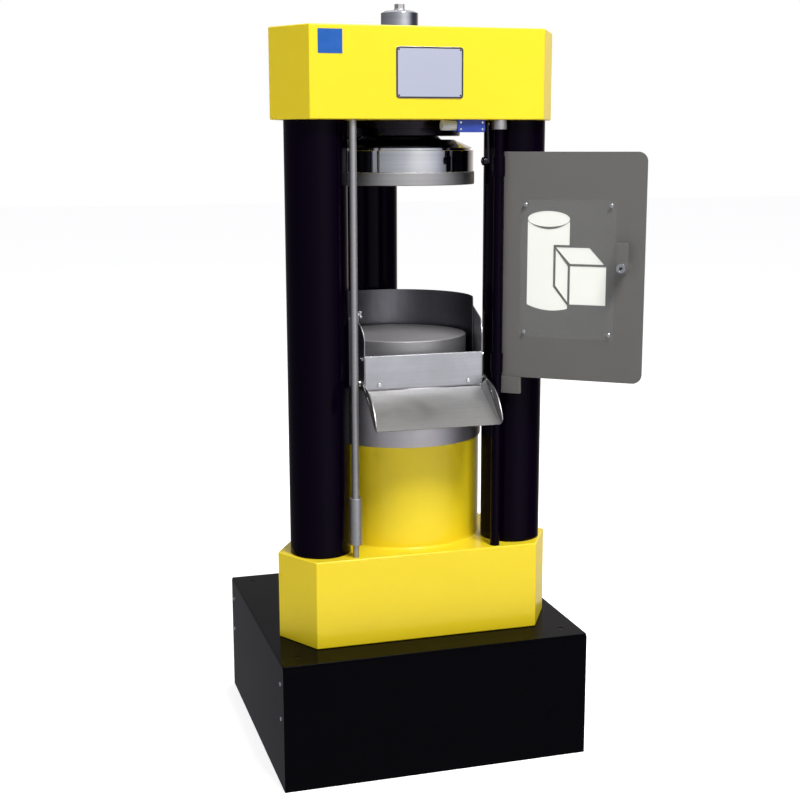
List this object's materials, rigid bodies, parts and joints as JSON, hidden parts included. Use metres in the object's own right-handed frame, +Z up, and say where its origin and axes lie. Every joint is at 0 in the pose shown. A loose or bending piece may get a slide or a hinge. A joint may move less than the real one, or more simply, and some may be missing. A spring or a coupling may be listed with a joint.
{
  "type": "compression testing machine",
  "caption": "Floor-standing press with columns between thick triangular beams, a hydraulic ram and platens, a seated upper platen, a debris tray with chute, and a swinging safety door.",
  "frame": {"origin": "on the floor, on the loading axis", "axes": "+Z up along the loading axis, -Y towards the operator, +X to the operator's right"},
  "size_m": [0.7978, 0.7593, 1.7305],
  "materials": {
    "yellow_enamel": "semi-gloss enamel",
    "plinth_black": "fine satin enamel",
    "column_black": "high gloss",
    "door_grey": "satin enamel",
    "polished_steel": "polished",
    "ground_steel": "ground",
    "stainless": "brushed sheet",
    "guard_steel": "dull sheet",
    "dark_steel": "blackened",
    "raw_steel": "machined",
    "clear_pane": "clear sheet",
    "seal_rubber": "matt",
    "bronze": "machined",
    "switch_blue": "moulded",
    "switch_grey": "moulded",
    "knob_black": "moulded",
    "plate_silver": "satin",
    "label_blue": "printed film"
  },
  "bodies": {
    "frame": {"base_plate": "plinth_black", "base_frame": "plinth_black", "plinth_front": "plinth_black", "plinth_left": "plinth_black", "plinth_right": "plinth_black", "plinth_rear": "plinth_black", "plinth_lid": "plinth_black", "plinth_screws": "polished_steel", "plinth_plug": "knob_black", "lower_beam": "yellow_enamel", "crosshead": "yellow_enamel", "cylinder": "yellow_enamel", "column_left": "column_black", "column_right": "column_black", "column_rear": "column_black", "tie_rods": "raw_steel", "column_nuts": "dark_steel", "oil_inlet": "ground_steel", "guide_ring": "bronze", "ram_seal": "seal_rubber", "wiper_ring": "seal_rubber", "seat_housing": "dark_steel", "suspension_rod": "raw_steel", "suspension_spring": "raw_steel", "suspension_cap": "polished_steel", "suspension_nut": "ground_steel", "tray_collar": "ground_steel", "tray_floor": "stainless", "tray_front": "stainless", "tray_side_left": "stainless", "tray_side_right": "stainless", "rear_guard": "guard_steel", "tray_screws": "polished_steel", "wing_screw": "ground_steel", "chute_pins": "polished_steel", "strike_post": "ground_steel", "strike_sleeve": "ground_steel", "hinge_post": "column_black", "hinge_bush": "ground_steel", "support_lug": "door_grey", "switch_body": "switch_blue", "switch_gland": "switch_grey", "nameplate": "plate_silver", "label_plate": "label_blue"},
    "ram": {"ram": "polished_steel", "lower_platen": "ground_steel"},
    "upper_platen": {"upper_platen": "ground_steel", "platen_block": "polished_steel", "ball_segment": "polished_steel"},
    "chute": {"chute": "stainless"},
    "door": {"door_leaf": "door_grey", "door_window": "clear_pane", "window_screws": "polished_steel", "door_barrels": "column_black", "latch_hub": "ground_steel"},
    "latch": {"latch_knob": "knob_black", "latch_tongue": "door_grey"},
    "lever": {"switch_lever": "dark_steel"},
    "roller": {"switch_roller": "ground_steel"}
  },
  "joints": [
    {"name": "ram_lift", "type": "slide", "parent": "frame", "child": "ram", "axis": [0, 0, 1], "range_m": [0, 0.06]},
    {"name": "platen_tilt", "type": "hinge", "parent": "frame", "child": "upper_platen", "pos_m": [0, 0, 1.327], "axis": [1, 0, 0], "range_deg": [-3, 3]},
    {"name": "chute_tilt", "type": "hinge", "parent": "frame", "child": "chute", "pos_m": [0, -0.1775, 0.892], "axis": [1, 0, 0], "range_deg": [-8, 10]},
    {"name": "door_swing", "type": "hinge", "parent": "frame", "child": "door", "pos_m": [0.167, -0.208, 1.15], "axis": [0, 0, 1], "range_deg": [-142, 22]},
    {"name": "latch_turn", "type": "hinge", "parent": "door", "child": "latch", "pos_m": [0.3908, -0.38285, 1.153], "axis": [0.6157, 0.788, 0], "range_deg": [0, 90]},
    {"name": "lever_push", "type": "hinge", "parent": "frame", "child": "lever", "pos_m": [0.137, -0.2, 1.4595], "axis": [1, 0, 0], "range_deg": [0, 25], "stiffness_Nm_per_rad": 0.2, "springref_deg": -5.73},
    {"name": "roller_spin", "type": "hinge", "parent": "lever", "child": "roller", "pos_m": [0.1325, -0.2098, 1.3805], "axis": [1, 0, 0], "continuous": true}
  ]
}
